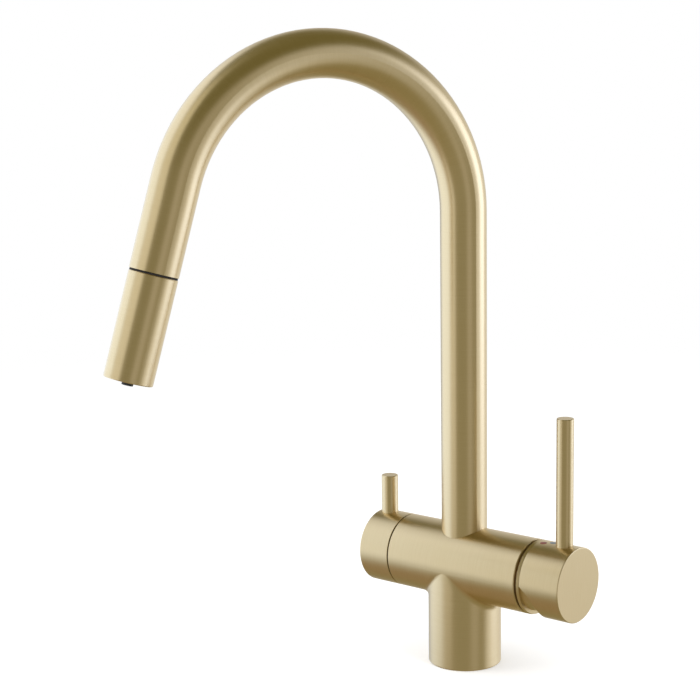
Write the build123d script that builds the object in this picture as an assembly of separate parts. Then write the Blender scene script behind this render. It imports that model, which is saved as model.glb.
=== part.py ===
from build123d import *
import os
from math import asin, atan, atan2, cos, degrees, radians, sin, sqrt

# Kitchen tap with a pull-out spray head, a side mixer lever and a second, filtered-water lever.
# Millimetres. Origin at the centre of the foot, +Z up, +X along the barrel to the mixer handle,
# -Y to the user. The spout is built straight ahead and then swung to its resting angle.

# ---------------------------------------------------------------- named clearances
running = 0.06                # radial, shaft in bore
seat = 0.05                   # between pieces that are screwed or pressed together
free = 0.4                    # between pieces that pass each other

# ---------------------------------------------------------------- body
barrel_radius = 25.0          # barrel, collar and both handle caps share it
barrel_height = 70.0          # barrel axis above the worktop
barrel_left = 47.5            # from the post's axis to the barrel's filter end
barrel_right = 57.4           # from the post's axis to the barrel's mixer end
post_step = 0.2               # the post is this much slimmer than the barrel, so that the two blend
post_wall = 3.4               # round the hollow under the post, where the tails come up
recess_depth = 26.0
body_blend = 5.0              # soft crotch between post and barrel
foot_round = 1.0              # rounded bottom edge of the post
edge_break = 0.5              # fine chamfer on turned edges
fine_break = 0.25             # finer one, on edges that meet closely
foot_seal_width = 1.5
foot_seal_lip = 0.2           # that stands into the recess
foot_seal_height = 2.0
post_radius = barrel_radius - post_step
recess_radius = post_radius - post_wall

# ---------------------------------------------------------------- inlet plate and waterways
plate_thickness = 12.0
plate_rim = 1.1               # metal outside the ports
port_radius = 4.5             # tapping hole of an M10x1 tail
filter_port_radius = 3.5      # tapping hole of an M8x1 filter tail
port_floor = 2.0              # metal over a port's end
stud_radius = 2.5             # tapping hole of an M6 fixing stud
stud_depth = 9.0
gallery_radius = 2.9          # drilled waterways in the body
port_angles = {"hot": 45, "mixed": 0, "cold": -45, "filter_in": 145, "filter_out": -145}
plate_top = recess_depth + plate_thickness
port_circle = recess_radius - plate_rim - port_radius

# ---------------------------------------------------------------- spout
pipe_radius = 15.45
pipe_wall = 1.25
arch_radius = 104.5           # of the pipe's centreline
arch_height = 309.0           # of the arch's centre above the worktop
arch_sweep = 163.45           # degrees from vertical, over the top
pipe_tail = 57.1              # straight length after the arch, to the joint line
joint_gap = 1.3               # shadow line between pipe and spray head
rest_swing = -21.2            # degrees that the spout stands off straight ahead
swing_limit = 75.0            # degrees that it turns each way from straight ahead
spigot_wall = 2.9
socket_drop = 24.0            # bottom of the body's socket, below the barrel axis
seat_rise = 13.0              # ledge under the pipe's end, above the barrel axis
glide_thickness = 1.0
spigot_rise = 34.0            # top of the spigot, above the barrel axis
ring_section = 1.6            # depth of the spigot's ring grooves
ring_height = 2.4
low_ring = 4.0                # ring groove above the spigot's foot
high_ring = 8.0               # ring groove below the pipe's seat
stop_drop = 8.0               # swing-stop screw, below the barrel axis
stop_radius = 2.5
stop_tip = 1.7                # radius of its plain tip
stop_groove = 1.6             # depth of the groove that the tip rides in
stop_shoulder = 0.7           # cone between tip and thread
stop_sunk = 0.6
hexagon_depth = 2.2           # of the grub screws' sockets
spigot_radius = 0.436 * barrel_radius
spigot_bore = spigot_radius - spigot_wall
pipe_bore = pipe_radius - pipe_wall
socket_floor = barrel_height - socket_drop
pipe_seat = barrel_height + seat_rise
stop_height = barrel_height - stop_drop

# ---------------------------------------------------------------- hoses
hose_slack = 1.0              # between the hose and the spigot's bore
hose_wall = 1.8
hose_foot = 20.0              # lower end of the hose, above the worktop
hose_in_head = 9.0            # length of hose in the head, past the joint line
filter_tube_radius = 3.0
filter_tube_wall = 1.0
filter_tube_foot = 3.0
fitting_foot = 5.0            # screwed fitting on the hose's lower end
fitting_thread = 6.4
fitting_shoulder = 12.0
fitting_wall = 1.2
flats_length = 5.0
guide_flange = 1.2
guide_flange_width = 1.4
hose_radius = spigot_bore - hose_slack

# ---------------------------------------------------------------- spray head, down from the joint line
head_length = 66.8
head_step = 0.09              # the head is this much slimmer than the pipe
head_wall = 1.5
head_top = 2.6                # thickness of the shell's upper end
dock_step = 4.66              # the docking collar is this much slimmer than the head
dock_length = 15.0
dock_taper = 1.2
dock_throat = 12.0            # length of the docking socket above the collar
dock_flange = 2.0
washer_step = 0.4             # the dark ring in the joint line is this much slimmer than the head
washer_play = 0.1             # between that ring and the pipe's end
nut_length = 12.0             # hose nut, with its wall
nut_wall = 2.4
check_length = 13.5           # check valve
check_radius = 7.0
check_ring_section = 1.1
check_ring_height = 2.0
core_wall = 2.4               # of the mixing chamber
gasket_thickness = 1.4
aerator_depth = 11.4          # length of the threaded ring in the mouth
aerator_wall = 2.8
lip_width = 0.6               # lip that holds the jet plate
lip_thickness = 1.2
mouth_sunk = 0.4              # ring's face inside the shell's edge
plate_depth = 4.0             # jet plate
jet_radius = 0.8
jet_circles = (5.8, 8.4)
jet_counts = (10, 16)
nozzle_radius = 3.6           # filtered outlet, at the head's centre
nozzle_proud = 2.4
nozzle_collar = 5.0
nozzle_grip = 5.8             # length of its socket for the filter tube
head_radius = pipe_radius - head_step
dock_radius = head_radius - dock_step
core_top = joint_gap / 2 + head_top + dock_flange + 5 * seat
nut_foot = core_top + nut_length + 6 * seat
check_foot = nut_foot + check_length
ring_top = head_length - aerator_depth
core_foot = ring_top - gasket_thickness
aerator_bore = head_radius - head_wall - aerator_wall
plate_low = head_length - mouth_sunk - lip_thickness - seat
filter_in_head = core_foot + 2.0

# ---------------------------------------------------------------- handle caps and levers
cap_wall = 2.2
cap_face = 2.8
hub_radius = 9.0
hub_length = 8.5
hub_floor = 1.0               # between a stem's socket and the cap's face
lever_sink = 2.6              # a lever's foot, inside the cap's wall
lever_boss_depth = 2.7        # metal under a lever's foot
lever_boss_wall = 1.6
stub_radius = 2.5             # M6 stub under a lever
stub_boss_wall = 2.0
lever_break = 0.35
grub_radius = 2.0
plug_radius = 2.6
plug_depth = 1.0              # that the plug stands inside the cap's wall
cap_bore = barrel_radius - cap_wall
lever_seat = cap_bore - lever_sink
lever_seat_boss = lever_seat - lever_boss_depth

# ---------------------------------------------------------------- mixer handle
shadow_gap = 1.7              # dark groove between barrel and collar
collar_width = 2.1
collar_taper = 0.55           # it is this much slimmer at the cap
rim_gap = 0.4                 # between collar and cap
mixer_cap_length = 29.9
mixer_edge_round = 0.6
pivot_reach = 0.6             # tilt axis, past the barrel's end
dome_clearance = 0.4          # dome under the tilting cap
dome_wall = 1.8
dome_reach = 17.0             # from the tilt axis to the dome's open end
scoop_radius = 27.0           # hollow cut in the cap's underside, for the tilt
scoop_back = 12.0             # its centre, behind the tilt axis
scoop_rise = 2.95             # its centre, above the barrel's lowest line
mixer_lever_radius = 5.65
mixer_lever_inset = 10.9      # behind the cap's face
mixer_lever_length = 109.6    # above the barrel axis
mixer_screw_inset = 7.9       # behind the cap's face
collar_start = barrel_right + shadow_gap
collar_end = collar_start + collar_width
mixer_rim = collar_end + rim_gap
mixer_end = mixer_rim + mixer_cap_length
mixer_lever_x = mixer_end - mixer_lever_inset
mixer_screw_x = mixer_end - mixer_screw_inset
tilt_pivot = barrel_right + pivot_reach
dome_radius = cap_bore - dome_clearance

# ---------------------------------------------------------------- mixer cartridge
cartridge_depth = 33.4        # its foot, inside the barrel's end
shoulder_depth = 5.4
neck_reach = 5.6              # its neck, past the barrel's end
nut_reach = 8.1
nut_thread = 3.5              # length of the nut behind the shoulder
neck_step = 2.4
neck_wall = 2.04
neck_lip = 1.4
neck_lip_width = 1.86
disc_step = 2.0               # wall of the housing round the fixed disc
base_thickness = 6.0
disc_thickness = 4.0
disc_gap = 0.02
disc_inset = 3.4              # the moving disc is this much smaller than the rotor
disc_offset = 2.8             # and rests this far under the axis
carrier_thickness = 6.0
port_seal_width = 1.5
port_seal_depth = 1.2
pin_radius = 1.5
pin_inset = 0.6
stem_square = 7.8
stem_break = 1.0
stem_back = 10.0              # square part of the stem, behind the pivot
shank_radius = 2.0
ball_radius = 3.0
ball_back = 16.5
ball_play = 0.15
slot_below = 6.2              # slot in the rotor, for the stem's tilt
slot_above = 9.8
cartridge_radius = 0.7 * barrel_radius
nut_radius = 0.76 * barrel_radius
cartridge_floor = barrel_right - cartridge_depth
cartridge_shoulder = barrel_right - shoulder_depth
cartridge_top = barrel_right + neck_reach
nut_top = barrel_right + nut_reach
neck_radius = cartridge_radius - neck_step
rotor_radius = neck_radius - neck_wall - running
disc_radius = rotor_radius - disc_inset
disc_seat = cartridge_floor + base_thickness
carrier_low = disc_seat + 2 * disc_thickness + seat
carrier_high = carrier_low - seat + carrier_thickness
port_reach = 0.543 * cartridge_radius    # mixed port over the axis, hot and cold to the sides
port_drop = 0.4 * cartridge_radius       # hot and cold ports under the axis

# ---------------------------------------------------------------- filter handle and valve
filter_gap = 0.6
filter_cap_length = 24.2
filter_edge_round = 0.8
filter_lever_radius = 5.78
filter_lever_inset = 7.7
filter_lever_length = 51.1    # above the barrel axis
valve_radius = 9.2
valve_depth = 27.5            # its foot, inside the barrel's end
valve_wall = 2.0
valve_seal_thickness = 1.6
valve_disc_thickness = 3.4
valve_port_radius = 1.7
valve_port_reach = 5.2
window_length = 13.0
window_width = 4.0
window_depth = 1.6
bonnet_radius = 13.0
bonnet_depth = 7.5
bonnet_sunk = 2.0
bonnet_step = 2.0
bonnet_neck = 3.0             # start of the bonnet's neck, past the barrel's end
bonnet_cone = 1.0
bonnet_reach = 9.5
bonnet_neck_wall = 3.5
spindle_radius = 4.0
spindle_foot = 7.5            # length of the foot that drives the disc
spindle_shoulder = 9.5        # bonnet's shoulder over that foot, inside the barrel's end
spindle_flat = 1.0
flat_length = 12.0
tongue_width = 2.2
tongue_length = 8.6
tongue_height = 1.6
filter_rim = barrel_left + filter_gap
filter_end = filter_rim + filter_cap_length
filter_lever_x = filter_end - filter_lever_inset
valve_floor = barrel_left - valve_depth
valve_disc_radius = valve_radius - valve_wall
valve_disc_low = valve_floor + valve_seal_thickness
valve_disc_high = valve_disc_low + 2 * valve_disc_thickness + disc_gap
bonnet_floor = barrel_left - bonnet_depth
bonnet_top = barrel_left + bonnet_reach


# ---------------------------------------------------------------- ways of making and placing
def turned(*points):
    """A solid of revolution about Z, from (radius, height) points."""
    outline = Polyline(*[(radius, 0, height) for radius, height in points], close=True)
    return revolve(make_face(outline), Axis.Z)


def tube(outer, inner, low, high):
    """A plain ring or sleeve on Z."""
    return turned((inner, low), (outer, low), (outer, high), (inner, high))


def rod(radius, low, high):
    """A plain round bar on Z."""
    return Pos(0, 0, low) * Cylinder(radius, high - low, align=(Align.CENTER, Align.CENTER, Align.MIN))


def broken_rod(radius, low, high, chamfered):
    """A round bar on Z with both ends chamfered."""
    return turned(
        (0, low), (radius - chamfered, low), (radius, low + chamfered),
        (radius, high - chamfered), (radius - chamfered, high), (0, high),
    )


def to_mixer(solid):
    """Turn a piece made on Z so that it lies on the barrel axis, its +Z to +X."""
    return Pos(0, 0, barrel_height) * Rot(0, 90, 0) * solid


def to_filter(solid):
    """Turn a piece made on Z so that it lies on the barrel axis, its +Z to -X."""
    return Pos(0, 0, barrel_height) * Rot(0, -90, 0) * solid


def under_cap(at, solid):
    """Turn a piece made on Z so that it points down from the barrel axis."""
    return Pos(at, 0, barrel_height) * Rot(180, 0, 0) * solid


def in_spout(solid):
    """Swing a piece of the spout to its resting angle."""
    return Rot(0, 0, rest_swing) * solid


def head_axis():
    """The spray head's axis before the spout is swung: origin on the joint line, Z down the head."""
    sweep = radians(arch_sweep)
    down = Vector(0, -sin(sweep), cos(sweep))
    arch_end = Vector(0, arch_radius * (cos(sweep) - 1), arch_height + arch_radius * sin(sweep))
    return Plane(origin=arch_end + down * pipe_tail, x_dir=(1, 0, 0), z_dir=down)


def in_head(solid):
    """Place a piece made on Z, with its top at the joint line, on the spray head's axis."""
    return in_spout(head_axis().location * solid)


def bent_tube(outer, inner, foot, tail):
    """A tube on the spout's centreline: up from foot, over the arch, and tail past its end."""
    upright = tube(outer, inner, foot, arch_height)
    ring = Pos(0, 0, arch_height) * (make_face(Circle(outer).edge()) - make_face(Circle(inner).edge()))
    arch = revolve(ring, Axis((0, -arch_radius, arch_height), (1, 0, 0)), revolution_arc=arch_sweep)
    straight = head_axis().location * tube(outer, inner, -pipe_tail, tail - pipe_tail)
    return upright + arch + straight


def on_port_circle(angle, solid):
    """Place a piece made on Z over a port of the inlet plate."""
    return Pos(port_circle * cos(radians(angle)), port_circle * sin(radians(angle)), 0) * solid


# ---------------------------------------------------------------- body
def cross_drilling(start_x, end_x, y, z):
    """A waterway along the barrel, between a valve's seat and an upright one."""
    return Pos(0, y, z) * Rot(0, 90, 0) * rod(gallery_radius, min(start_x, end_x), max(start_x, end_x))


def make_tap_body():
    barrel = Pos(-barrel_left, 0, barrel_height) * Rot(0, 90, 0) * broken_rod(
        barrel_radius, 0, barrel_left + barrel_right, edge_break
    )
    body = barrel + rod(post_radius, 0, barrel_height)
    crotch = body.edges().filter_by(GeomType.BSPLINE)
    body = fillet(crotch, body_blend)
    foot = body.edges().filter_by(GeomType.CIRCLE).sort_by(Axis.Z)[0]
    body = fillet(foot, foot_round)

    body -= rod(recess_radius, -1, plate_top)
    body -= tube(recess_radius + foot_seal_width + seat, recess_radius - 1, -1, foot_seal_height)
    body -= rod(spigot_bore + free, plate_top - 1, socket_floor + 1)
    body -= rod(spigot_radius + running, socket_floor, pipe_seat + 1)
    body -= rod(pipe_radius + running, pipe_seat, barrel_height + 2 * barrel_radius)

    body -= to_mixer(rod(cartridge_radius + seat, cartridge_floor, barrel_right + 1))
    body -= to_mixer(rod(nut_radius + seat, cartridge_shoulder - nut_thread - 10 * seat, barrel_right + 1))
    body -= to_filter(rod(valve_radius + seat, valve_floor, barrel_left + 1))
    body -= to_filter(rod(bonnet_radius + seat, bonnet_floor, barrel_left + 1))

    over_axis = barrel_height + port_reach
    under_axis = barrel_height - port_drop
    hot, filtered = port_angles["hot"], port_angles["filter_in"]
    hot_x = port_circle * cos(radians(hot))
    filter_x = port_circle * cos(radians(filtered))
    body -= on_port_circle(port_angles["mixed"], rod(gallery_radius, plate_top - 1, over_axis))
    body -= cross_drilling(port_circle, cartridge_floor + 1, 0, over_axis)
    for side in (1, -1):
        body -= on_port_circle(side * hot, rod(gallery_radius, plate_top - 1, under_axis))
        body -= cross_drilling(hot_x, cartridge_floor + 1, side * port_reach, under_axis)
        body -= on_port_circle(side * filtered, rod(gallery_radius, plate_top - 1, barrel_height))
        body -= cross_drilling(filter_x, -valve_floor - 1, side * valve_port_reach, barrel_height)

    return body - to_back(rod(stop_radius + seat, 0, barrel_radius + 1))


def to_back(solid):
    """Turn a piece made on Z so that it points to the back, at the swing stop's height."""
    return Pos(0, 0, stop_height) * Rot(-90, 0, 0) * solid


def make_stop_screw():
    """Grub screw in the back of the body, whose tip rides in the spigot's groove."""
    surface = sqrt(post_radius**2 - stop_radius**2) - stop_sunk
    tip = spigot_radius - stop_groove + free
    cone = spigot_radius + running + free
    screw = turned(
        (0, tip), (stop_tip - 0.3, tip), (stop_tip, tip + 0.3), (stop_tip, cone),
        (stop_radius, cone + stop_shoulder), (stop_radius, surface), (0, surface),
    )
    hexagon = Pos(0, 0, surface - hexagon_depth) * RegularPolygon(stop_radius / 2, 6)
    return to_back(screw - extrude(hexagon, hexagon_depth + 1))


def make_inlet_plate():
    """Brass plate at the top of the recess, with the tails' ports, the studs' holes and the hose's way."""
    plate = rod(recess_radius - seat, recess_depth, plate_top)
    plate -= rod(spigot_bore + free, recess_depth - 1, plate_top + 1)
    for name, angle in port_angles.items():
        radius = filter_port_radius if "filter" in name else port_radius
        plate -= on_port_circle(angle, rod(radius, recess_depth - 1, plate_top - port_floor))
        plate -= on_port_circle(angle, rod(gallery_radius, recess_depth, plate_top + 1))
    for angle in (90, -90):
        plate -= on_port_circle(angle, rod(stud_radius, recess_depth - 1, recess_depth + stud_depth))
    return plate


def make_base_seal():
    return tube(recess_radius + foot_seal_width, recess_radius - foot_seal_lip, 0, foot_seal_height - seat)


def make_hose_guide():
    """Plastic bush that the hose slides in, flanged under the plate."""
    bore = hose_radius + free
    outer = spigot_bore + free - seat
    flange = outer + guide_flange_width
    low = recess_depth - guide_flange
    return turned((bore, low), (flange, low), (flange, recess_depth), (outer, recess_depth),
                  (outer, plate_top + 2), (bore, plate_top + 2))


# ---------------------------------------------------------------- spout
def make_spout_pipe():
    return in_spout(bent_tube(pipe_radius, pipe_bore, pipe_seat + glide_thickness, pipe_tail - joint_gap / 2))


def ring_grooves():
    """Undersides of the two ring grooves on the spigot."""
    return (socket_floor + low_ring, pipe_seat - high_ring)


def make_spout_spigot():
    """Turned foot soldered in the pipe, with two ring grooves and the swing-stop groove."""
    foot = socket_floor + free
    top = barrel_height + spigot_rise
    ledge = pipe_seat + glide_thickness + seat
    in_pipe = pipe_bore - seat
    spigot = turned(
        (spigot_bore, foot), (spigot_radius - edge_break, foot), (spigot_radius, foot + edge_break),
        (spigot_radius, ledge), (in_pipe, ledge), (in_pipe, top - 1), (in_pipe - 1, top), (spigot_bore, top),
    )
    for low in ring_grooves():
        spigot -= tube(spigot_radius + 1, spigot_radius - ring_section, low, low + ring_height)
    tip_angle = degrees(atan((stop_tip + free / 2) / (spigot_radius - stop_groove)))
    half_arc = swing_limit + tip_angle
    section = Rectangle(2 * stop_groove, 2 * (stop_tip + free))
    section = Pos(spigot_radius, 0, stop_height) * Rot(90, 0, 0) * section
    groove = Rot(0, 0, 90 - half_arc) * revolve(section, Axis.Z, revolution_arc=2 * half_arc)
    return in_spout(spigot - groove)


def make_spigot_rings():
    outer = spigot_radius + running - disc_gap
    inner = spigot_radius - ring_section + seat
    rings = [tube(outer, inner, low + seat, low + ring_height - seat) for low in ring_grooves()]
    return in_spout(Compound(children=rings))


def make_glide_ring():
    """Slippery washer between the body's ledge and the pipe's end."""
    inner, outer = spigot_radius + free, pipe_radius - free
    return in_spout(tube(outer, inner, pipe_seat + disc_gap, pipe_seat + glide_thickness))


def make_docking_socket():
    """Plastic guide in the pipe's mouth that centres the head's collar and the hose."""
    outer = pipe_bore - seat
    bore = dock_radius + free
    throat = hose_radius + 2 * free
    top = -dock_length - dock_throat
    mouth = -joint_gap / 2 - 0.6
    socket = turned(
        (throat + 2, top), (outer, top), (outer, mouth), (bore + 0.8, mouth), (bore, mouth - 1.8),
        (bore, -dock_length - 1), (throat, -dock_length - 3), (throat, top + 3),
    )
    return in_head(socket)


# ---------------------------------------------------------------- hoses
def make_spray_hose():
    return in_spout(bent_tube(hose_radius, hose_radius - hose_wall, hose_foot, pipe_tail + hose_in_head))


def make_filter_tube():
    inner = filter_tube_radius - filter_tube_wall
    return in_spout(bent_tube(filter_tube_radius, inner, filter_tube_foot, pipe_tail + filter_in_head))


def make_hose_end():
    """Screwed fitting on the hose's lower end, in the recess."""
    outer = hose_radius + fitting_wall
    bore = filter_tube_radius + free
    top = recess_depth - guide_flange - 2 * free
    fitting = turned(
        (bore, fitting_foot), (fitting_thread - free, fitting_foot), (fitting_thread, fitting_foot + free),
        (fitting_thread, fitting_shoulder), (outer, fitting_shoulder), (outer, top),
        (hose_radius + seat, top), (hose_radius + seat, hose_foot - seat), (bore, hose_foot - seat),
    )
    flats = extrude(Pos(0, 0, fitting_shoulder) * RegularPolygon(outer + fitting_wall / 2, 6), flats_length)
    return in_spout(fitting + flats - rod(bore, 0, hose_foot))


# ---------------------------------------------------------------- spray head
def make_head_shell():
    bore = head_radius - head_wall
    top = joint_gap / 2
    shell = turned(
        (dock_radius + seat, top), (head_radius - edge_break, top), (head_radius, top + edge_break),
        (head_radius, head_length - edge_break), (head_radius - edge_break, head_length),
        (bore, head_length), (bore, top + head_top), (dock_radius + seat, top + head_top),
    )
    return in_head(shell)


def make_docking_collar():
    """Plastic collar on top of the head, with its flange under the shell's top."""
    flange = joint_gap / 2 + head_top + seat
    bore = hose_radius + free
    outer = head_radius - head_wall - seat
    collar = turned(
        (bore, -dock_length), (dock_radius - dock_taper, -dock_length),
        (dock_radius, -dock_length + dock_taper), (dock_radius, flange), (outer, flange),
        (outer, flange + dock_flange), (bore, flange + dock_flange),
    )
    return in_head(collar)


def make_docking_washer():
    """Rubber ring on the head's top, that meets the pipe's end and shows as the dark joint line."""
    outer = head_radius - washer_step
    return in_head(tube(outer, dock_radius + seat, washer_play - joint_gap / 2, joint_gap / 2))


def make_hose_nut():
    """Brass end of the hose, screwed into the head's core."""
    bore = hose_radius - hose_wall - 4 * seat
    outer = hose_radius + nut_wall
    foot = core_top + nut_length
    nut = turned(
        (hose_radius + seat, core_top), (outer, core_top), (outer, foot), (bore, foot),
        (bore, hose_in_head + seat), (hose_radius + seat, hose_in_head + seat),
    )
    return in_head(nut)


def make_spray_core():
    """Plastic waterway inside the head: nut's thread, check valve's bore and mixing chamber."""
    outer = head_radius - head_wall - 2 * seat
    thread = hose_radius + nut_wall + seat
    chamber = outer - core_wall
    core = turned(
        (thread, core_top + seat), (outer, core_top + seat), (outer, core_foot), (chamber, core_foot),
        (chamber, check_foot + 4), (check_radius - check_ring_section, check_foot),
        (check_radius + seat, check_foot - 4 * seat), (check_radius + seat, nut_foot), (thread, nut_foot),
    )
    return in_head(core)


def make_check_valve():
    bore = filter_tube_radius + 5 * seat
    groove = check_radius - check_ring_section
    low = nut_foot + check_ring_height
    high = check_foot - 10 * seat
    valve = turned(
        (bore, nut_foot + seat), (check_radius, nut_foot + seat), (check_radius, low), (groove, low),
        (groove, low + check_ring_height), (check_radius, low + check_ring_height),
        (check_radius, high), (bore, high),
    )
    return in_head(valve)


def make_check_valve_ring():
    low = nut_foot + check_ring_height
    inner = check_radius - check_ring_section + seat
    return in_head(tube(check_radius, inner, low + seat, low + check_ring_height - seat))


def make_aerator_gasket():
    outer = head_radius - head_wall - free
    inner = aerator_bore - gasket_thickness
    return in_head(tube(outer, inner, core_foot + seat, ring_top - 2 * seat))


def make_aerator_ring():
    """Threaded ring that holds the jet plate in the shell's mouth."""
    outer = head_radius - head_wall - seat
    face = head_length - mouth_sunk
    lip = aerator_bore - lip_width
    ring = turned(
        (aerator_bore, ring_top), (outer, ring_top), (outer, face - edge_break), (outer - edge_break, face),
        (lip, face), (lip, face - lip_thickness), (aerator_bore, face - lip_thickness),
    )
    notch = Pos(0, 0, face) * Box(2 * lip_thickness, 2 * head_radius, 2 * lip_thickness)
    notch &= tube(outer + 1, aerator_bore + lip_width, face - lip_thickness, face + 1)
    return in_head(ring - notch)


def make_jet_plate():
    """Round plate of jets about the filtered outlet."""
    top = plate_low - plate_depth
    plate = tube(aerator_bore - seat, nozzle_radius + 2 * seat, top, plate_low)
    for radius, count in zip(jet_circles, jet_counts):
        for jet in PolarLocations(radius, count):
            plate -= jet * rod(jet_radius, top - 1, plate_low + 1)
    return in_head(plate)


def make_filter_nozzle():
    """Centre outlet for the filtered water, gripping the filter tube's end."""
    tip = head_length + nozzle_proud
    shoulder = plate_low - plate_depth - 3 * seat
    grip = filter_in_head + seat
    bore = filter_tube_radius - filter_tube_wall
    socket = filter_tube_radius + seat
    nozzle = turned(
        (socket, grip - nozzle_grip), (nozzle_collar, grip - nozzle_grip), (nozzle_collar, shoulder),
        (nozzle_radius, shoulder), (nozzle_radius, tip - fine_break), (nozzle_radius - fine_break, tip),
        (bore + edge_break, tip), (bore, tip - 2 * edge_break), (bore, grip), (socket, grip),
    )
    return in_head(nozzle)


# ---------------------------------------------------------------- mixer cartridge
def make_cartridge_nut():
    """Threaded ring that clamps the cartridge in the barrel."""
    low = cartridge_shoulder - nut_thread
    round_cartridge = cartridge_radius + 2 * seat
    round_neck = neck_radius + free
    return to_mixer(turned(
        (round_cartridge, low), (nut_radius, low), (nut_radius, nut_top), (round_neck, nut_top),
        (round_neck, cartridge_shoulder + seat), (round_cartridge, cartridge_shoulder + seat),
    ))


def make_dome_cover():
    """Visible collar and the dome that stays hidden under the cap, one turned piece."""
    inside = dome_radius - dome_wall
    bore = nut_radius + seat
    bore_reach = sqrt(inside**2 - bore**2)

    def on_dome(radius, angle):
        return (radius * cos(angle), 0, tilt_pivot + radius * sin(angle))

    root = sqrt(dome_radius**2 - (collar_end - tilt_pivot) ** 2)
    root_angle = atan2(collar_end - tilt_pivot, root)
    rim_angle = asin(dome_reach / dome_radius)
    inner_root_angle = atan2(bore_reach, bore)
    inner_rim_angle = asin(dome_reach / inside)
    outer_middle = (root_angle + rim_angle) / 2
    inner_middle = (inner_root_angle + inner_rim_angle) / 2
    corners = [
        (bore, 0, collar_start), (barrel_radius - edge_break, 0, collar_start),
        (barrel_radius, 0, collar_start + edge_break), (barrel_radius - collar_taper, 0, collar_end),
        (root, 0, collar_end),
    ]
    outline = [Line(start, end) for start, end in zip(corners, corners[1:])]
    outline += [
        ThreePointArc(corners[-1], on_dome(dome_radius, outer_middle), on_dome(dome_radius, rim_angle)),
        Line(on_dome(dome_radius, rim_angle), on_dome(inside, inner_rim_angle)),
        ThreePointArc(on_dome(inside, inner_rim_angle), on_dome(inside, inner_middle),
                      (bore, 0, tilt_pivot + bore_reach)),
        Line((bore, 0, tilt_pivot + bore_reach), corners[0]),
    ]
    return to_mixer(revolve(make_face(outline), Axis.Z))


def make_cartridge_housing():
    """Plastic sleeve of the cartridge, stepped to a neck under the clamp nut."""
    bore = rotor_radius + running
    over_disc = disc_seat + disc_thickness + 2 * seat
    inside_lip = cartridge_top - neck_lip
    lip = rotor_radius - neck_lip_width
    return to_mixer(turned(
        (cartridge_radius - disc_step, disc_seat), (cartridge_radius, disc_seat),
        (cartridge_radius, cartridge_shoulder), (neck_radius, cartridge_shoulder),
        (neck_radius, cartridge_top), (lip, cartridge_top), (lip, inside_lip), (bore, inside_lip),
        (bore, over_disc), (cartridge_radius - disc_step, over_disc),
    ))


def cartridge_ports(radius, low, high):
    """The cartridge's three waterways, as rods on the barrel axis."""
    places = ((0, port_reach), (port_reach, -port_drop), (-port_reach, -port_drop))
    return [Pos(0, y, barrel_height + z) * Rot(0, 90, 0) * rod(radius, low, high) for y, z in places]


def make_cartridge_base():
    low = cartridge_floor + seat
    high = disc_seat - seat
    base = to_mixer(rod(cartridge_radius, low, high))
    for port in cartridge_ports(gallery_radius, low - 1, high + 1):
        base -= port
    for groove in cartridge_ports(gallery_radius + port_seal_width, low - 1, low + port_seal_depth):
        base -= groove
    return base


def make_port_seals():
    seals = cartridge_ports(gallery_radius + port_seal_width - seat, cartridge_floor + seat,
                            cartridge_floor + port_seal_depth)
    holes = cartridge_ports(gallery_radius, cartridge_floor - 1, cartridge_floor + 3)
    return Compound(children=[seal - hole for seal, hole in zip(seals, holes)])


def make_fixed_disc():
    disc = to_mixer(rod(cartridge_radius - disc_step - seat, disc_seat, disc_seat + disc_thickness))
    for port in cartridge_ports(gallery_radius, disc_seat - 1, disc_seat + disc_thickness + 1):
        disc -= port
    return disc


def make_moving_disc():
    """Upper ceramic disc, with the chamber that joins the ports as it slides and turns."""
    low = disc_seat + disc_thickness + disc_gap
    disc = rod(disc_radius, low, low + disc_thickness)
    chamber = extrude(SlotOverall(1.25 * disc_radius, 0.625 * disc_radius), disc_thickness)
    return Pos(0, 0, -disc_offset) * to_mixer(disc - Pos(0, 0, low - disc_thickness / 2) * chamber)


def make_disc_carrier():
    """Plastic carrier that grips the disc and takes the stem's ball."""
    carrier = Pos(0, 0, -disc_offset) * to_mixer(rod(disc_radius, carrier_low, carrier_high))
    return carrier - to_mixer(rod(ball_radius + ball_play, carrier_low + 3 * seat, carrier_high + 1))


def pivot_hole(play):
    """Drilling across the cartridge for the pivot pin."""
    drill = rod(pin_radius + play, -barrel_radius, barrel_radius)
    return Pos(tilt_pivot, 0, barrel_height) * Rot(90, 0, 0) * drill


def make_cartridge_rotor():
    """Turning core of the cartridge, slotted so that the stem can tilt in it."""
    rotor = to_mixer(rod(rotor_radius, carrier_high + free, cartridge_top - neck_lip - 2 * seat))
    middle = barrel_height + (slot_above - slot_below) / 2
    slot = Pos(tilt_pivot, 0, middle) * Box(2 * cartridge_depth, stem_square + free, slot_above + slot_below)
    return rotor - slot - pivot_hole(disc_gap)


def make_pivot_pin():
    reach = rotor_radius - pin_inset
    pin = broken_rod(pin_radius, -reach, reach, pin_radius / 5)
    return Pos(tilt_pivot, 0, barrel_height) * Rot(90, 0, 0) * pin


# ---------------------------------------------------------------- mixer handle
def make_cartridge_stem():
    """Square stem that tilts on the pivot pin, with a ball at its inner end."""
    end = mixer_end - cap_face - 2 * hub_floor
    start = tilt_pivot - stem_back
    ball_x = tilt_pivot - ball_back
    bar = Pos((start + end) / 2, 0, barrel_height) * Box(end - start, stem_square, stem_square)
    bar = chamfer(bar.edges().filter_by(Axis.X), stem_break)
    shank = to_mixer(rod(shank_radius, ball_x, start + stem_break))
    ball = Pos(ball_x, 0, barrel_height) * Sphere(ball_radius)
    return shank + ball + bar - pivot_hole(running)


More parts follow.
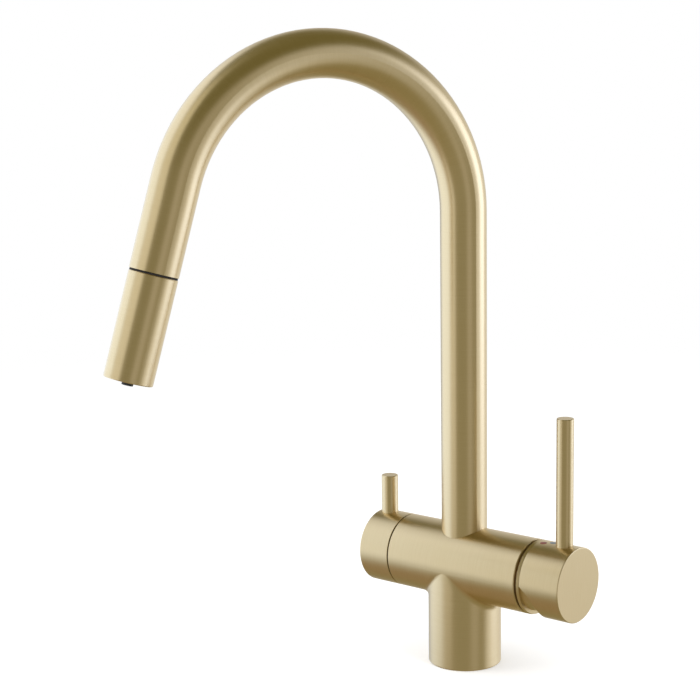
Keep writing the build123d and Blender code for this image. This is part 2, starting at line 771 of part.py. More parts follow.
def hollow_cap(rim, face, edge_round):
    """A handle cap on Z: its shell with the flat face, and the hub for the stem."""
    end = face - cap_face
    shell = turned(
        (cap_bore, rim), (barrel_radius - fine_break, rim), (barrel_radius, rim + fine_break),
        (barrel_radius, face), (0, face), (0, end), (cap_bore, end),
    )
    shell = fillet(shell.edges().group_by(Axis.Z)[-1], edge_round)
    return shell, rod(hub_radius, end - hub_length, end + edge_break)


def lever_socket(at, radius):
    """Boss between hub and shell, and its stepped hole, for a lever that stands on the barrel axis."""
    boss = rod(radius + lever_boss_wall, lever_seat_boss, cap_bore + edge_break)
    boss += rod(stub_radius + stub_boss_wall, hub_radius - 3, lever_seat_boss + edge_break)
    hole = rod(radius + seat, lever_seat, barrel_radius + 5)
    hole += rod(stub_radius + seat, hub_radius - 1, lever_seat + 1)
    place = Pos(at, 0, barrel_height)
    return place * boss, place * hole


def screw_holes(at):
    """Grub screw's hole in the hub and the way to it through the cap's underside."""
    thread = rod(grub_radius + seat, 0, hub_radius + 1)
    return under_cap(at, thread + rod(plug_radius + seat, hub_radius - 2, barrel_radius + 5))


def make_mixer_cap():
    shell, hub = hollow_cap(mixer_rim, mixer_end, mixer_edge_round)
    scoop_x, scoop_z = tilt_pivot - scoop_back, barrel_height - barrel_radius + scoop_rise
    scoop = rod(scoop_radius, -2 * barrel_radius, 2 * barrel_radius)
    scoop = Pos(scoop_x, 0, scoop_z) * Rot(90, 0, 0) * scoop
    boss, hole = lever_socket(mixer_lever_x, mixer_lever_radius)
    cap = to_mixer(shell) - scoop + to_mixer(hub) + boss
    depth = hub_length - hub_floor
    width = stem_square + 2 * seat
    socket = Pos(mixer_end - cap_face - hub_length + depth / 2, 0, barrel_height) * Box(depth, width, width)
    return cap - hole - socket - screw_holes(mixer_screw_x)


def make_lever(at, radius, length):
    """Slim round lever with a threaded stub that screws into the hub."""
    foot = lever_seat + seat
    pin = turned(
        (0, hub_radius), (stub_radius, hub_radius), (stub_radius, foot), (radius, foot),
        (radius, length - lever_break), (radius - lever_break, length), (0, length),
    )
    return Pos(at, 0, barrel_height) * pin


def make_grub_screw(at, tip):
    """Grub screw up through the hub, on the stem's flat."""
    screw = rod(grub_radius, tip + seat, hub_radius - free)
    hexagon = Pos(0, 0, hub_radius - hexagon_depth) * RegularPolygon(grub_radius / 2, 6)
    return under_cap(at, screw - extrude(hexagon, hexagon_depth + 1))


def make_screw_plug(at):
    """Small flush plug over the grub screw's access hole."""
    flush = sqrt(barrel_radius**2 - plug_radius**2)
    return under_cap(at, rod(plug_radius, cap_bore - plug_depth, flush))


# ---------------------------------------------------------------- filter valve and handle
def make_valve_body():
    """Brass quarter-turn valve screwed into the barrel's filter end."""
    bore = spindle_radius + running
    chamber = valve_disc_radius + 2 * seat
    shoulder = barrel_left - spindle_shoulder
    rim = bonnet_radius - bonnet_step
    neck = spindle_radius + bonnet_neck_wall
    cone = barrel_left + bonnet_neck
    return to_filter(turned(
        (chamber, valve_disc_low), (valve_radius, valve_disc_low), (valve_radius, bonnet_floor + seat),
        (bonnet_radius, bonnet_floor + seat), (bonnet_radius, barrel_left - bonnet_sunk),
        (rim, barrel_left - bonnet_sunk), (rim, cone), (neck, cone + bonnet_cone), (neck, bonnet_top),
        (bore, bonnet_top), (bore, shoulder), (chamber, shoulder),
    ))


def drill_valve_ports(solid):
    """Cut the two waterways through a disc or seal on the filter valve's axis."""
    port = to_filter(rod(valve_port_radius, 0, barrel_left))
    return solid - Pos(0, valve_port_reach, 0) * port - Pos(0, -valve_port_reach, 0) * port


def make_valve_seal():
    seal = rod(valve_radius - 2 * seat, valve_floor + disc_gap, valve_disc_low - seat)
    return drill_valve_ports(to_filter(seal))


def make_valve_fixed_disc():
    high = valve_disc_low + valve_disc_thickness
    return drill_valve_ports(to_filter(rod(valve_disc_radius, valve_disc_low, high)))


def make_valve_moving_disc():
    low = valve_disc_low + valve_disc_thickness + disc_gap
    disc = rod(valve_disc_radius, low, low + valve_disc_thickness)
    window = SlotOverall(window_length, window_width) & Circle(valve_disc_radius - free)
    window = Pos(0, 0, low - window_depth) * extrude(window, 2 * window_depth)
    groove = Box(tongue_width + 2 * seat, tongue_length + free, 2 * tongue_height)
    return to_filter(disc - window - Pos(0, 0, valve_disc_high) * groove)


def make_valve_spindle():
    """Spindle with a foot that drives the disc, and a flat for the cap's grub screw."""
    low = valve_disc_high + 2 * seat
    end = filter_end - cap_face - 2 * hub_floor
    spindle = rod(valve_disc_radius - 2 * seat, low, low + spindle_foot) + rod(spindle_radius, low + 1, end)
    tongue = Pos(0, 0, low - tongue_height / 2 + 2 * seat) * Box(tongue_width, tongue_length, tongue_height)
    flat_middle = -spindle_radius + spindle_flat - spindle_radius
    flat = Pos(flat_middle, 0, end) * Box(2 * spindle_radius, 3 * spindle_radius, flat_length)
    return to_filter(spindle + tongue - flat)


def make_filter_cap():
    shell, hub = hollow_cap(filter_rim, filter_end, filter_edge_round)
    boss, hole = lever_socket(-filter_lever_x, filter_lever_radius)
    socket = rod(spindle_radius + seat, bonnet_floor, filter_end - cap_face - hub_floor)
    cap = to_filter(shell + hub) + boss
    return cap - to_filter(socket) - hole - screw_holes(-filter_lever_x)


# ---------------------------------------------------------------- the list of pieces, by name
pieces = {
    "tap_body": make_tap_body,
    "inlet_plate": make_inlet_plate,
    "base_seal": make_base_seal,
    "swing_stop_screw": make_stop_screw,
    "hose_guide": make_hose_guide,
    "spout_pipe": make_spout_pipe,
    "spout_spigot": make_spout_spigot,
    "spigot_rings": make_spigot_rings,
    "spout_glide_ring": make_glide_ring,
    "docking_socket": make_docking_socket,
    "spray_hose": make_spray_hose,
    "filter_tube": make_filter_tube,
    "hose_end_fitting": make_hose_end,
    "spray_head_shell": make_head_shell,
    "docking_collar": make_docking_collar,
    "docking_washer": make_docking_washer,
    "hose_nut": make_hose_nut,
    "spray_core": make_spray_core,
    "check_valve": make_check_valve,
    "check_valve_ring": make_check_valve_ring,
    "aerator_gasket": make_aerator_gasket,
    "aerator_ring": make_aerator_ring,
    "jet_plate": make_jet_plate,
    "filter_nozzle": make_filter_nozzle,
    "cartridge_nut": make_cartridge_nut,
    "dome_cover": make_dome_cover,
    "cartridge_housing": make_cartridge_housing,
    "cartridge_base": make_cartridge_base,
    "cartridge_port_seals": make_port_seals,
    "cartridge_fixed_disc": make_fixed_disc,
    "cartridge_moving_disc": make_moving_disc,
    "cartridge_disc_carrier": make_disc_carrier,
    "cartridge_rotor": make_cartridge_rotor,
    "cartridge_pivot_pin": make_pivot_pin,
    "cartridge_stem": make_cartridge_stem,
    "mixer_cap": make_mixer_cap,
    "mixer_lever": lambda: make_lever(mixer_lever_x, mixer_lever_radius, mixer_lever_length),
    "mixer_grub_screw": lambda: make_grub_screw(mixer_screw_x, stem_square / 2),
    "mixer_screw_plug": lambda: make_screw_plug(mixer_screw_x),
    "filter_valve_body": make_valve_body,
    "filter_valve_seal": make_valve_seal,
    "filter_fixed_disc": make_valve_fixed_disc,
    "filter_moving_disc": make_valve_moving_disc,
    "filter_spindle": make_valve_spindle,
    "filter_cap": make_filter_cap,
    "filter_lever": lambda: make_lever(-filter_lever_x, filter_lever_radius, filter_lever_length),
    "filter_grub_screw": lambda: make_grub_screw(-filter_lever_x, spindle_radius - spindle_flat),
    "filter_screw_plug": lambda: make_screw_plug(-filter_lever_x),
}

os.makedirs("parts", exist_ok=True)
for name, make in pieces.items():
    piece = make()
    export_step(piece, f"parts/{name}.step")
    print(f"{name}: {piece.volume:.0f} mm3")
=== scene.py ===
import math

import bmesh
import bpy
from mathutils import Matrix, Vector


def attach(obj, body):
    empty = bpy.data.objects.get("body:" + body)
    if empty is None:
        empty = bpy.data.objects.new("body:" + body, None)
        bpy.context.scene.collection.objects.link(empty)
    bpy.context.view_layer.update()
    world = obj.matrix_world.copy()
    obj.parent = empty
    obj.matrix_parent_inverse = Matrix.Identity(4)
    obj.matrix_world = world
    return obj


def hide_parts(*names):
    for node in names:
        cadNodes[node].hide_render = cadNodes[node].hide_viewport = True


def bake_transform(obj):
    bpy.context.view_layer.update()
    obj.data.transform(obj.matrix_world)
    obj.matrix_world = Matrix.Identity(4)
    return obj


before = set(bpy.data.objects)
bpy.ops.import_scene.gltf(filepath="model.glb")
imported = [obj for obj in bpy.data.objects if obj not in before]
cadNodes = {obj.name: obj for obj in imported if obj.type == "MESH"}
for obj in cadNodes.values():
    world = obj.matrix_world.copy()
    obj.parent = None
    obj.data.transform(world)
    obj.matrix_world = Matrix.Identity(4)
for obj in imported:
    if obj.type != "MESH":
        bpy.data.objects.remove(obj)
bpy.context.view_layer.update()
print("tap loaded,", len(cadNodes), "parts")


# short ways to add objects and materials
def addObject(name, data):
    thing = bpy.data.objects.new(name, data)
    bpy.context.scene.collection.objects.link(thing)
    return thing


def newMaterial(name):
    material = bpy.data.materials.new(name)
    material.use_nodes = True
    material.node_tree.nodes.clear()
    return material, material.node_tree


# short ways to wire nodes
def setSocket(tree, socket, value):
    if isinstance(value, bpy.types.NodeSocket):
        tree.links.new(value, socket)
    else:
        socket.default_value = value


def addNode(tree, kind, inputs=None, **settings):
    node = tree.nodes.new("ShaderNode" + kind)
    for setting, value in settings.items():
        setattr(node, setting, value)
    for key, value in (inputs or {}).items():
        setSocket(tree, node.inputs[key], value)
    return node


def doMath(tree, operation, *values):
    return addNode(tree, "Math", dict(enumerate(values)), operation=operation).outputs[0]


def doVector(tree, operation, *values):
    node = addNode(tree, "VectorMath", dict(enumerate(values)), operation=operation)
    return node.outputs["Value" if operation in ("DOT_PRODUCT", "LENGTH") else "Vector"]


def softStep(tree, value, low, high, start=0.0, end=1.0):
    ends = {"Value": value, "From Min": low, "From Max": high, "To Min": start, "To Max": end}
    return addNode(tree, "MapRange", ends, interpolation_type="SMOOTHSTEP").outputs["Result"]


# a Mix node has its own sockets for each kind of value
def mixValues(tree, kind, label, share, first, second):
    node = addNode(tree, "Mix", data_type=kind)
    for key, value in (("Factor_Float", share), ("A_" + label, first), ("B_" + label, second)):
        setSocket(tree, next(socket for socket in node.inputs if socket.identifier == key), value)
    return next(socket for socket in node.outputs if socket.identifier == "Result_" + label)


def mixColour(tree, share, first, second):
    first, second = ((*end, 1) if isinstance(end, tuple) else end for end in (first, second))
    return mixValues(tree, "RGBA", "Color", share, first, second)


def mixVector(tree, share, first, second):
    return mixValues(tree, "VECTOR", "Vector", share, first, second)


# two values added by their shares
def weigh(tree, shares, first, second):
    return doMath(tree, "ADD", doMath(tree, "MULTIPLY", first, shares[0]),
                  doMath(tree, "MULTIPLY", second, shares[1]))


def noise(tree, place, scale, detail, roughness=0.5):
    settings = {"Vector": place, "Scale": scale, "Detail": detail, "Roughness": roughness}
    return addNode(tree, "TexNoise", settings).outputs["Fac"]


def splitAxes(tree, vector):
    return addNode(tree, "SeparateXYZ", {"Vector": vector}).outputs


def joinAxes(tree, across, back, rise):
    return addNode(tree, "CombineXYZ", {"X": across, "Y": back, "Z": rise}).outputs["Vector"]


def turnUpright(tree, vector, angle):
    return addNode(tree, "VectorRotate", {"Vector": vector, "Angle": angle},
                   rotation_type="Z_AXIS").outputs["Vector"]


def objectPlace(tree):
    return addNode(tree, "TexCoord").outputs["Object"]


# relief and shader, wired to the material's output
def shadeSurface(tree, height, strength, depth, sockets):
    relief = addNode(tree, "Bump", {"Height": height, "Strength": strength, "Distance": depth})
    shader = addNode(tree, "BsdfPrincipled", {**sockets, "Normal": relief.outputs[0]})
    addNode(tree, "OutputMaterial", {"Surface": shader.outputs[0]})


# camera, set to the angle of the photo
cameraLook = {
    "azimuth": 40.035,
    "elevation": 9.827,
    "roll": -0.837,
    "distance": 1.1289,
    "target": (-0.02374, -0.0900, 0.22658),
    "lens": 91.08,
    "farClip": 50,
}


def placeCamera(look):
    azimuth, elevation, roll = (math.radians(look[key]) for key in ("azimuth", "elevation", "roll"))
    back = Vector((math.sin(azimuth) * math.cos(elevation),
                   -math.cos(azimuth) * math.cos(elevation), math.sin(elevation)))
    side = Vector((0, 0, 1)).cross(back).normalized()
    up = back.cross(side)
    side, up = (math.cos(roll) * side + math.sin(roll) * up,
                math.cos(roll) * up - math.sin(roll) * side)
    camera = addObject("camera", bpy.data.cameras.new("camera"))
    camera.matrix_world = Matrix.Translation(Vector(look["target"]) + back * look["distance"]) @ \
        Matrix((side, up, back)).transposed().to_4x4()
    camera.data.lens = look["lens"]
    camera.data.clip_end = look["farClip"]
    bpy.context.scene.camera = camera


placeCamera(cameraLook)
bpy.context.scene.view_settings.view_transform = "Standard"
print("camera placed")

# studio: dim room with a pale sweep, and three boards; only shiny surfaces mirror them
studio = {
    "middle": (-0.024, -0.090),       # of the tap, seen from above; the boards stand round it
    "turn": 40.0,                     # turns room and boards together
    "plain": 0.80,                    # even light on everything that isn't shiny
    "room": (0.35, 0.33, 0.24),
    "ceiling": (0.16, 0.14, 0.05),
    "ceilingRise": (-5, 35),          # degrees over which the room turns into the ceiling
    "ground": (0.29, 0.25, 0.13),
    "groundDrop": (-15, -45),         # and into the ground
    "boardBlend": (0.25, 0.85),       # heights over which a board's colour changes
}
panels = {                            # far off: middle, half size and soft edge in degrees
    "sweep": {"turn": 159, "rise": -4, "half": (92, 32.5), "soft": (10, 8),
              "colour": (0.80, 0.81, 0.80)},
    "sweepSide": {"turn": -140, "rise": -4, "half": (30, 32.5), "soft": (14, 8),
                  "colour": (0.44, 0.48, 0.56)},
    "sweepTop": {"turn": 165, "rise": 28, "half": (24, 14), "soft": (14, 10),
                 "colour": (0.56, 0.56, 0.54)},
    "doorway": {"turn": 26.5, "rise": -2, "half": (12, 20), "soft": (8, 10),
                "colour": (0.53, 0.51, 0.45)},
    "counter": {"turn": -88, "rise": -56, "half": (42, 20), "soft": (18, 12),
                "colour": (0.32, 0.24, 0.14)},
}
boards = {                            # nearer to the tap: turn in degrees, lengths in metres
    "sheetEnd": {"turn": -60, "distance": 0.52, "half": 0.16, "foot": -0.11, "top": 1.36,
                 "soft": (0.10, 0.18), "footColour": (0.79, 0.79, 0.74), "topColour": (0.73, 0.71, 0.57)},
    "sheet": {"turn": -113, "distance": 0.50, "half": 0.42, "foot": -0.21, "top": 1.12,
              "soft": (0.42, 0.40), "footColour": (1.08, 1.19, 1.36), "topColour": (1.02, 1.08, 1.18)},
    "strip": {"turn": 101, "distance": 3.00, "half": 0.87, "foot": -0.44, "top": 1.40,
              "soft": (0.50, 0.45), "footColour": (1.75, 1.97, 2.53), "topColour": (1.86, 2.02, 2.50)},
}


def buildWorld(look):
    world = bpy.data.worlds.new("studio")
    bpy.context.scene.world = world
    world.use_nodes = True
    world.cycles.sampling_method = "NONE"
    tree = world.node_tree
    tree.nodes.clear()
    direction = addNode(tree, "TexCoord").outputs["Generated"]
    axes = splitAxes(tree, turnUpright(tree, direction, -math.radians(look["turn"])))
    front = doMath(tree, "MULTIPLY", axes["Y"], -1)
    around = doMath(tree, "DEGREES", doMath(tree, "ARCTAN2", axes["X"], front))
    height = doMath(tree, "DEGREES", doMath(tree, "ARCSINE", axes["Z"]))
    colour = mixColour(tree, softStep(tree, height, *look["ceilingRise"]), look["room"], look["ceiling"])
    colour = mixColour(tree, softStep(tree, height, *look["groundDrop"]), colour, look["ground"])
    for panel in panels.values():
        (wide, tall), (softWide, softTall) = panel["half"], panel["soft"]
        turned = doMath(tree, "WRAP", doMath(tree, "SUBTRACT", around, panel["turn"]), 180, -180)
        aside = doMath(tree, "ABSOLUTE", turned)
        above = doMath(tree, "ABSOLUTE", doMath(tree, "SUBTRACT", height, panel["rise"]))
        inside = doMath(tree, "MULTIPLY", softStep(tree, aside, wide + softWide, wide - softWide),
                        softStep(tree, above, tall + softTall, tall - softTall))
        colour = mixColour(tree, inside, colour, panel["colour"])
    ray = addNode(tree, "LightPath")
    colour = mixColour(tree, ray.outputs["Is Glossy Ray"], (look["plain"],) * 3, colour)
    seen = doMath(tree, "MAXIMUM", ray.outputs["Is Camera Ray"], ray.outputs["Is Transmission Ray"])
    colour = mixColour(tree, seen, colour, (1, 1, 1))
    light = addNode(tree, "Background", {"Color": colour, "Strength": 1.0})
    addNode(tree, "OutputWorld", {"Surface": light.outputs[0]})


def standBoard(name, look):
    angle = math.radians(look["turn"]) + math.radians(studio["turn"])
    half, foot, top, (softWide, softTall) = (look[key] for key in ("half", "foot", "top", "soft"))
    wide, low, high = half + softWide / 2, foot - softTall / 2, top + softTall / 2
    mesh = bpy.data.meshes.new(name)
    corners = [(-wide, 0, low), (wide, 0, low), (wide, 0, high), (-wide, 0, high)]
    mesh.from_pydata(corners, [], [(0, 1, 2, 3)])
    board = addObject(name, mesh)
    middle, distance = studio["middle"], look["distance"]
    board.location = (middle[0] + distance * math.sin(angle), middle[1] - distance * math.cos(angle), 0)
    board.rotation_euler.z = angle
    material, tree = newMaterial(name + "Light")
    axes = splitAxes(tree, objectPlace(tree))
    aside = doMath(tree, "ABSOLUTE", axes["X"])
    share = softStep(tree, aside, wide, half - softWide / 2)
    share = doMath(tree, "MULTIPLY", share, softStep(tree, axes["Z"], low, foot + softTall / 2))
    share = doMath(tree, "MULTIPLY", share, softStep(tree, axes["Z"], high, top - softTall / 2))
    rise = softStep(tree, axes["Z"], *studio["boardBlend"])
    colour = mixColour(tree, rise, look["footColour"], look["topColour"])
    glow = addNode(tree, "Emission", {"Color": colour})
    clear = addNode(tree, "BsdfTransparent")
    both = addNode(tree, "MixShader", {0: share, 1: clear.outputs[0], 2: glow.outputs[0]})
    addNode(tree, "OutputMaterial", {"Surface": both.outputs[0]})
    mesh.materials.append(material)
    board.visible_camera = board.visible_diffuse = board.visible_shadow = False


# two soft lamps on the boards' sides, for the matt surfaces and the tap's shadow
lamps = {
    "sheetLamp": {"at": (-1.3, -1.3, 1.5), "towards": (0, -0.05, 0.2), "size": (1.2, 1.6), "watts": 15},
    "stripLamp": {"at": (1.5, -0.3, 1.2), "towards": (0, -0.05, 0.2), "size": (0.5, 1.4), "watts": 8},
}


def softLamp(name, look):
    lamp = bpy.data.lights.new(name, "AREA")
    lamp.shape = "RECTANGLE"
    lamp.size, lamp.size_y = look["size"]
    lamp.energy = look["watts"]
    holder = addObject(name, lamp)
    holder.location = look["at"]
    line = Vector(look["towards"]) - Vector(look["at"])
    holder.rotation_euler = line.to_track_quat("-Z", "Y").to_euler()
    holder.visible_glossy = False     # shiny surfaces mirror the boards instead


buildWorld(studio)
for name, look in boards.items():
    standBoard(name, look)
for name, look in lamps.items():
    softLamp(name, look)
print("studio lit")

# floor: white with the tap's soft shadow; clear to shiny surfaces, from below and towards its edge
floorLook = {
    "radius": 1.5,
    "sides": 96,
    "below": 0.0002,
    "white": 0.80,
    "lift": 0.40,                     # brings the lit floor up to plain white
    "paper": {"scale": 9.0, "detail": 3.0, "depth": 0.01},
    "fade": (0.45, 1.3),              # from the middle, full and clear
}


def buildFloor(look):
    count, radius = look["sides"], look["radius"]
    points, faces = [(0, 0, 0)], []
    for at in range(count):
        angle = math.tau * at / count
        points.append((radius * math.cos(angle), radius * math.sin(angle), 0))
        faces.append((0, at + 1, (at + 1) % count + 1))
    mesh = bpy.data.meshes.new("floor")
    mesh.from_pydata(points, [], faces)
    floor = addObject("floor", mesh)
    floor.location.z = -look["below"]
    material, tree = newMaterial("whiteFloor")
    place = objectPlace(tree)
    paper, white = look["paper"], look["white"]
    mottle = noise(tree, place, paper["scale"], paper["detail"])
    tone = mixColour(tree, mottle, (white - paper["depth"],) * 3, (white + paper["depth"],) * 3)
    lit = addNode(tree, "BsdfDiffuse", {"Color": tone})
    lift = addNode(tree, "Emission", {"Color": (1, 1, 1, 1), "Strength": look["lift"]})
    shown = addNode(tree, "AddShader", {0: lit.outputs[0], 1: lift.outputs[0]})
    ray = addNode(tree, "LightPath")
    clear = doMath(tree, "MAXIMUM", ray.outputs["Is Glossy Ray"], ray.outputs["Is Transmission Ray"])
    clear = doMath(tree, "MAXIMUM", clear, addNode(tree, "NewGeometry").outputs["Backfacing"])
    clear = doMath(tree, "MAXIMUM", clear, softStep(tree, doVector(tree, "LENGTH", place), *look["fade"]))
    through = addNode(tree, "BsdfTransparent")
    both = addNode(tree, "MixShader", {0: clear, 1: shown.outputs[0], 2: through.outputs[0]})
    addNode(tree, "OutputMaterial", {"Surface": both.outputs[0]})
    mesh.materials.append(material)


buildFloor(floorLook)
print("floor laid")

# the spout's own line, used by its brushing and by the hose inside it
spout = {
    "swing": math.radians(-21.2),     # how far it stands turned about its upright
    "archRadius": 0.1045,
    "archHeight": 0.309,              # where the arch begins
    "sweep": math.radians(163.45),
    "tail": 0.0571,                   # straight end after the arch
}
archLength = spout["archRadius"] * spout["sweep"]


# point and direction on that line, by length from the arch's end; negative is back up the arch
def spoutPoint(length):
    if length >= 0:
        angle, extra = spout["sweep"], length
    elif length > -archLength:
        angle, extra = spout["sweep"] + length / spout["archRadius"], 0
    else:
        angle, extra = 0, length + archLength
    point = Vector((0, spout["archRadius"] * (math.cos(angle) - 1),
                    spout["archHeight"] + spout["archRadius"] * math.sin(angle)))
    line = Vector((0, -math.sin(angle), math.cos(angle)))
    turn = Matrix.Rotation(spout["swing"], 3, "Z")
    return turn @ (point + line * extra), turn @ line


# each grain gives (round, round, along) coordinates for the fine rings left by brushing,
# and the line that the rings stand square to
def roundSpout(tree, place):
    axes = splitAxes(tree, turnUpright(tree, place, -spout["swing"]))
    back = doMath(tree, "ADD", axes["Y"], spout["archRadius"])
    rise = doMath(tree, "SUBTRACT", axes["Z"], spout["archHeight"])
    angle = doMath(tree, "ARCTAN2", rise, back)
    behind = doMath(tree, "LESS_THAN", angle, -math.pi / 2)
    angle = doMath(tree, "ADD", angle, doMath(tree, "MULTIPLY", behind, math.tau))
    angle = doMath(tree, "MINIMUM", doMath(tree, "MAXIMUM", angle, 0.0), spout["sweep"])
    cosine, sine = doMath(tree, "COSINE", angle), doMath(tree, "SINE", angle)
    across = doMath(tree, "ADD", doMath(tree, "MULTIPLY", back, cosine),
                    doMath(tree, "MULTIPLY", rise, sine))
    along = doMath(tree, "SUBTRACT", doMath(tree, "MULTIPLY", rise, cosine),
                   doMath(tree, "MULTIPLY", back, sine))
    along = doMath(tree, "ADD", along, doMath(tree, "MULTIPLY", angle, spout["archRadius"]))
    line = joinAxes(tree, 0.0, doMath(tree, "MULTIPLY", sine, -1), cosine)
    return joinAxes(tree, axes["X"], across, along), turnUpright(tree, line, spout["swing"])


flatLimit = 0.9                       # how squarely a flat face looks along the axis


# 1 on the flat faces that look along an axis, 0 on the round ones
def flatFace(tree, axis):
    facing = splitAxes(tree, addNode(tree, "TexCoord").outputs["Normal"])[axis]
    return doMath(tree, "GREATER_THAN", doMath(tree, "ABSOLUTE", facing), flatLimit)


# rings round X; the flat end faces are brushed upright
def roundBar(tree, place):
    axes = splitAxes(tree, place)
    rings = joinAxes(tree, axes["Y"], axes["Z"], axes["X"])
    upright = joinAxes(tree, axes["X"], axes["Z"], axes["Y"])
    face = flatFace(tree, "X")
    return mixVector(tree, face, rings, upright), mixVector(tree, face, (1, 0, 0), (0, 1, 0))


# rings round Z, and a straight grain on the flat ends
def roundPost(tree, place):
    axes = splitAxes(tree, place)
    flat = joinAxes(tree, axes["Z"], axes["Y"], axes["X"])
    end = flatFace(tree, "Z")
    return mixVector(tree, end, place, flat), mixVector(tree, end, (0, 0, 1), (1, 0, 0))


# where the post's rings meet the barrel's
bodyShape = {
    "postRadius": 0.0248,
    "barrelRadius": 0.025,
    "barrelHeight": 0.07,
    "seam": (-0.003, 0.003),          # nearer to the post's surface, nearer to the barrel's
    "postTop": (0.063, 0.071),        # above this all is barrel
}


def roundBody(tree, place):
    shape = bodyShape
    fromPost = doVector(tree, "LENGTH", doVector(tree, "MULTIPLY", place, (1, 1, 0)))
    fromBarrel = doVector(tree, "SUBTRACT", place, (0, 0, shape["barrelHeight"]))
    fromBarrel = doVector(tree, "LENGTH", doVector(tree, "MULTIPLY", fromBarrel, (0, 1, 1)))
    offPost = doMath(tree, "ABSOLUTE", doMath(tree, "SUBTRACT", fromPost, shape["postRadius"]))
    offBarrel = doMath(tree, "ABSOLUTE", doMath(tree, "SUBTRACT", fromBarrel, shape["barrelRadius"]))
    barrel = softStep(tree, doMath(tree, "SUBTRACT", offPost, offBarrel), *shape["seam"])
    rise = splitAxes(tree, place)["Z"]
    barrel = doMath(tree, "MAXIMUM", barrel, softStep(tree, rise, *shape["postTop"]))
    postGrain, postLine = roundPost(tree, place)
    barGrain, barLine = roundBar(tree, place)
    return mixVector(tree, barrel, postGrain, barGrain), mixVector(tree, barrel, postLine, barLine)


# brushed brass, the finish of the tap's outside
brushedLook = {
    "tone": (0.80, 0.65, 0.40),
    "paleTone": (0.815, 0.667, 0.418),
    "deepTone": (0.785, 0.633, 0.382),
    "roughness": (0.328, 0.360),
    "anisotropy": 0.72,               # the rings smear a reflection along the line
    "streaks": ((55, 1400), (170, 4600)),     # broad and fine, to a metre round and along
    "streakDetail": (3.0, 0.6),
    "streakShares": (0.6, 0.4),
    "streakEnds": (0.36, 0.64),       # streaks this deep and this pale have the full tones
    "cloud": (26, 2.0),               # soft clouds to a metre, and their detail
    "cloudEnds": (0.3, 0.7, 0, 0.35),
    "roughShares": (0.8, 0.2),        # of streaks and clouds
    "roughEnds": (0.35, 0.65),
    "relief": 0.02,                   # strength of the bump, and its depth
    "depth": 0.0002,
}


def brushedBrass(name, layGrain, look):
    material, tree = newMaterial(name)
    place = objectPlace(tree)
    grain, line = layGrain(tree, place)
    streaks = []
    for around, along in look["streaks"]:
        stretched = doVector(tree, "MULTIPLY", grain, (around, around, along))
        streaks.append(noise(tree, stretched, 1.0, *look["streakDetail"]))
    cloud = noise(tree, place, *look["cloud"])
    streak = weigh(tree, look["streakShares"], *streaks)
    pale = softStep(tree, streak, *look["streakEnds"])
    tone = mixColour(tree, pale, look["deepTone"], look["paleTone"])
    tone = mixColour(tree, softStep(tree, cloud, *look["cloudEnds"]), tone, look["tone"])
    rough = weigh(tree, look["roughShares"], streak, cloud)
    rough = softStep(tree, rough, *look["roughEnds"], *look["roughness"])
    worldLine = addNode(tree, "VectorTransform", {"Vector": line}, vector_type="VECTOR",
                        convert_from="OBJECT", convert_to="WORLD").outputs[0]
    shadeSurface(tree, streak, look["relief"], look["depth"], {
        "Base Color": tone, "Metallic": 1.0, "Roughness": rough,
        "Anisotropic": look["anisotropy"], "Tangent": worldLine})
    return material


# finishes inside the tap and under it; rings are lathe rings to a metre
insideLook = {
    "rawBrass": {"tones": ((0.66, 0.47, 0.20), (0.80, 0.60, 0.30)), "metal": 1.0,
                 "rough": (0.22, 0.42), "rings": 2600},
    "stainless": {"tones": ((0.50, 0.50, 0.49), (0.62, 0.62, 0.60)), "metal": 1.0,
                  "rough": (0.22, 0.40), "rings": 3000},
    "sealRubber": {"tones": ((0.014, 0.012, 0.010), (0.034, 0.029, 0.025)),
                   "rough": (0.55, 0.80), "shine": 0.2},
    "darkPlastic": {"tones": ((0.022, 0.022, 0.023), (0.042, 0.042, 0.044)), "rough": (0.38, 0.55)},
    "palePlastic": {"tones": ((0.70, 0.69, 0.66), (0.80, 0.79, 0.76)), "rough": (0.34, 0.50)},
    "whiteCeramic": {"tones": ((0.74, 0.73, 0.70), (0.86, 0.85, 0.82)), "rough": (0.08, 0.22)},
    "blueTube": {"tones": ((0.03, 0.14, 0.42), (0.05, 0.20, 0.52)), "rough": (0.25, 0.40)},
}
insideGrain = {
    "fine": (900.0, 4.0, 0.65),       # noise to a metre, detail, roughness
    "patch": (70.0, 2.0),
    "patchShares": (0.5, 0.5),        # of fine grain or rings, and patches
    "ringShares": (0.8, 0.2),         # of rings and fine grain
    "ringDetail": 2.0,
    "relief": 0.12,
    "ringRelief": 0.2,
    "depth": 0.0002,
    "ends": (0.35, 0.65),
}


def insideFinish(name, look, axis=(1, 0, 0)):
    material, tree = newMaterial(name)
    place = objectPlace(tree)
    height = noise(tree, place, *insideGrain["fine"])
    patch = noise(tree, place, *insideGrain["patch"])
    strength = insideGrain["relief"]
    if "rings" in look:
        step = doMath(tree, "MULTIPLY", doVector(tree, "DOT_PRODUCT", place, axis), look["rings"])
        rings = addNode(tree, "TexNoise", {"W": step, "Scale": 1.0, "Detail": insideGrain["ringDetail"]},
                        noise_dimensions="1D").outputs["Fac"]
        height = weigh(tree, insideGrain["ringShares"], rings, height)
        strength = insideGrain["ringRelief"]
    blend = weigh(tree, insideGrain["patchShares"], height, patch)
    low, high = insideGrain["ends"]
    tone = mixColour(tree, softStep(tree, blend, low, high), *look["tones"])
    rough = softStep(tree, blend, high, low, *look["rough"])
    shadeSurface(tree, height, strength, insideGrain["depth"], {
        "Base Color": tone, "Metallic": look.get("metal", 0.0), "Roughness": rough,
        "Specular IOR Level": look.get("shine", 0.5)})
    return material


def finishNode(name, material):
    mesh = cadNodes[name].data
    if not mesh.materials:
        mesh.materials.append(material)
    for at in range(len(mesh.materials)):
        mesh.materials[at] = material


